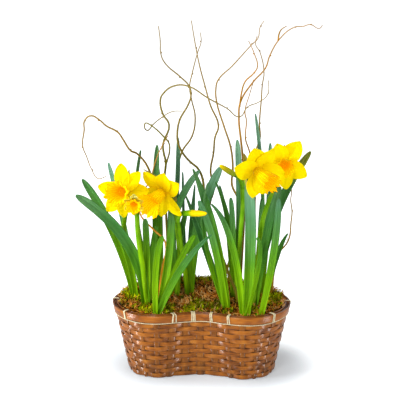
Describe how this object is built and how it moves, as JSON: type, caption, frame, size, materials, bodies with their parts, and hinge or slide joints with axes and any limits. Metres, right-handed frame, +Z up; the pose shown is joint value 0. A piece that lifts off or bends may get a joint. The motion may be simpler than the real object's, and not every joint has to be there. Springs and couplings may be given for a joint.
{
  "type": "potted daffodils in a woven basket",
  "caption": "Daffodils in flower with strap leaves, moss and curly willow twigs, planted in a figure-of-eight basket of woven bamboo.",
  "frame": {"origin": "middle of the basket's underside, at the surface it stands on", "axes": "+Z up, +X along the basket's length to the right as seen from the front, -Y to the front, where the flowers face"},
  "size_m": [0.322, 0.1671, 0.4893],
  "materials": {
    "bamboo": "satin",
    "bamboo_rim": "satin",
    "cane": "matte",
    "liner": "matte",
    "soil": "matte",
    "moss": "matte",
    "leaf": "satin",
    "petal": "satin",
    "trumpet": "satin",
    "bud": "satin",
    "willow_bark": "matte"
  },
  "bodies": {
    "root": {"basket_base": "bamboo", "basket_wall": "bamboo", "rim_outer_band": "bamboo_rim", "rim_inner_band": "bamboo_rim", "rim_lashing": "cane", "liner": "liner", "soil": "soil", "moss": "moss", "daffodil_1": "leaf", "daffodil_2": "leaf", "daffodil_3": "leaf", "daffodil_4": "leaf", "daffodil_5": "leaf", "daffodil_6": "leaf", "daffodil_7": "leaf", "daffodil_8": "leaf", "daffodil_9": "leaf", "daffodil_10": "leaf", "daffodil_11": "leaf", "daffodil_12": "leaf", "bloom_1_petals": "petal", "bloom_1_trumpet": "trumpet", "bloom_2_petals": "petal", "bloom_2_trumpet": "trumpet", "bloom_3_petals": "petal", "bloom_3_trumpet": "trumpet", "bloom_4_petals": "petal", "bloom_4_trumpet": "trumpet", "bloom_5_petals": "petal", "bloom_5_trumpet": "trumpet", "bud_1": "bud", "bud_2": "bud", "willow_1": "willow_bark", "willow_2": "willow_bark", "willow_3": "willow_bark", "willow_4": "willow_bark", "willow_5": "willow_bark", "willow_6": "willow_bark", "willow_7": "willow_bark", "willow_8": "willow_bark", "willow_9": "willow_bark", "willow_10": "willow_bark"}
  },
  "joints": []
}
